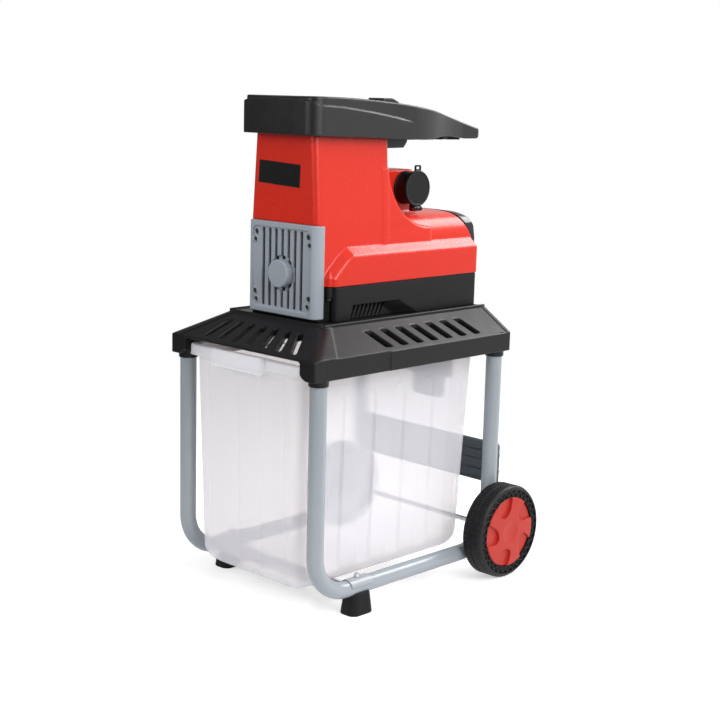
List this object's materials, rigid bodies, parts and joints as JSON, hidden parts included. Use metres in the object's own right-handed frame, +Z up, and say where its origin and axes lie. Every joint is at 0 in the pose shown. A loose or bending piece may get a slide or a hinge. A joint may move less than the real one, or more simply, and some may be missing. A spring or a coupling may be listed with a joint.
{
  "type": "garden shredder",
  "caption": "Upright electric roller shredder: feed hopper with carry handle, geared motor housing on a vented deck, wheeled tube frame, slide-out translucent box.",
  "frame": {"origin": "centre of the bounding box on the floor", "axes": "+Z up, +Y towards the wheels, +X to the right seen from the front"},
  "size_m": [0.476, 0.5848, 0.902],
  "materials": {
    "red_plastic": "gloss moulded",
    "black_plastic": "satin moulded",
    "grey_coat": "powder coated",
    "grey_cast": "painted casting",
    "steel": "machined",
    "aluminium": "cast",
    "rubber": "matt",
    "copper": "enamelled wire",
    "milky_plastic": "translucent",
    "green_plastic": "gloss moulded"
  },
  "bodies": {
    "base": {"deck": "black_plastic", "left_leg_frame": "grey_coat", "right_leg_frame": "grey_coat", "front_strut": "grey_coat", "left_foot": "rubber", "right_foot": "rubber", "foot_bolts": "steel", "rear_brace": "grey_coat", "brace_screws": "steel", "wheel_axle": "steel", "axle_washers": "steel", "axle_clips": "steel", "lower_housing": "black_plastic", "housing_floor": "black_plastic", "upper_housing": "red_plastic", "bearing_cover": "grey_cast", "cover_screws": "steel", "housing_screws": "steel", "hopper": "black_plastic", "handle_grip": "black_plastic", "feed_chute": "black_plastic", "control_panel": "black_plastic", "switch_box": "black_plastic", "inlet_body": "black_plastic", "inlet_pins": "steel", "lid_pin": "steel", "cutter_frame": "aluminium", "front_bearing": "steel", "rear_bearing": "steel", "gearbox_housing": "aluminium", "motor_front_shield": "aluminium", "motor_rear_shield": "aluminium", "motor_stator": "steel", "motor_windings": "copper", "motor_bearings": "steel", "capacitor": "aluminium", "interlock_housing": "black_plastic"},
    "left_wheel": {"left_wheel": "black_plastic", "left_hub_cap": "red_plastic"},
    "right_wheel": {"right_wheel": "black_plastic", "right_hub_cap": "red_plastic"},
    "cutter": {"cutter_roller": "steel", "cutter_shaft": "steel", "output_gear": "steel"},
    "idler": {"idler_gear": "steel", "idler_shaft": "steel"},
    "rotor": {"motor_shaft": "steel", "rotor_core": "steel", "cooling_fan": "black_plastic"},
    "pressure_plate": {"pressure_plate": "aluminium"},
    "adjuster": {"adjuster_screw": "steel", "adjuster_knob": "black_plastic"},
    "collection_box": {"collection_box": "milky_plastic"},
    "inlet_lid": {"inlet_lid": "black_plastic"},
    "on_button": {"on_button": "green_plastic"},
    "off_button": {"off_button": "red_plastic"},
    "reset_button": {"reset_button": "black_plastic"},
    "direction_knob": {"direction_knob": "black_plastic"},
    "interlock_plunger": {"interlock_plunger": "red_plastic"}
  },
  "joints": [
    {"name": "left_wheel_spin", "type": "hinge", "parent": "base", "child": "left_wheel", "pos_m": [-0.213, 0.20243, 0.09], "axis": [1, 0, 0], "continuous": true},
    {"name": "right_wheel_spin", "type": "hinge", "parent": "base", "child": "right_wheel", "pos_m": [0.213, 0.20243, 0.09], "axis": [1, 0, 0], "continuous": true},
    {"name": "rotor_spin", "type": "hinge", "parent": "base", "child": "rotor", "pos_m": [0, 0.08457, 0.592], "axis": [0, 1, 0], "continuous": true},
    {"name": "idler_spin", "type": "hinge", "parent": "base", "child": "idler", "pos_m": [0, -0.02543, 0.637], "axis": [0, 1, 0], "continuous": true},
    {"name": "cutter_spin", "type": "hinge", "parent": "base", "child": "cutter", "pos_m": [0, -0.11743, 0.592], "axis": [0, 1, 0], "continuous": true},
    {"name": "adjuster_turn", "type": "hinge", "parent": "base", "child": "adjuster", "pos_m": [-0.112, -0.11743, 0.592], "axis": [1, 0, 0], "range_deg": [0, 720]},
    {"name": "plate_slide", "type": "slide", "parent": "base", "child": "pressure_plate", "axis": [1, 0, 0], "range_m": [0, 0.004]},
    {"name": "box_slide", "type": "slide", "parent": "base", "child": "collection_box", "axis": [0, -1, 0], "range_m": [0, 0.45]},
    {"name": "lid_hinge", "type": "hinge", "parent": "base", "child": "inlet_lid", "pos_m": [0.056, 0.10558, 0.6995], "axis": [0, 1, 0], "range_deg": [0, 115], "stiffness_Nm_per_rad": 0.03, "springref_deg": -28.65},
    {"name": "on_press", "type": "slide", "parent": "base", "child": "on_button", "axis": [0, -1, 0], "range_m": [0, 0.003], "stiffness_N_per_m": 500},
    {"name": "off_press", "type": "slide", "parent": "base", "child": "off_button", "axis": [0, -1, 0], "range_m": [0, 0.003], "stiffness_N_per_m": 500},
    {"name": "reset_press", "type": "slide", "parent": "base", "child": "reset_button", "axis": [0, -1, 0], "range_m": [0, 0.003], "stiffness_N_per_m": 500},
    {"name": "direction_turn", "type": "hinge", "parent": "base", "child": "direction_knob", "pos_m": [0.018, 0.24957, 0.617], "axis": [0, 1, 0], "range_deg": [-45, 45]},
    {"name": "interlock_press", "type": "slide", "parent": "base", "child": "interlock_plunger", "axis": [0, 1, 0], "range_m": [0, 0.004], "stiffness_N_per_m": 500}
  ],
  "couplings": [
    {"joint": "idler_spin", "follows": "rotor_spin", "ratio": -0.125},
    {"joint": "cutter_spin", "follows": "rotor_spin", "ratio": 0.015625},
    {"joint": "adjuster_turn", "follows": "plate_slide", "rad_per_m": 3141.6}
  ]
}
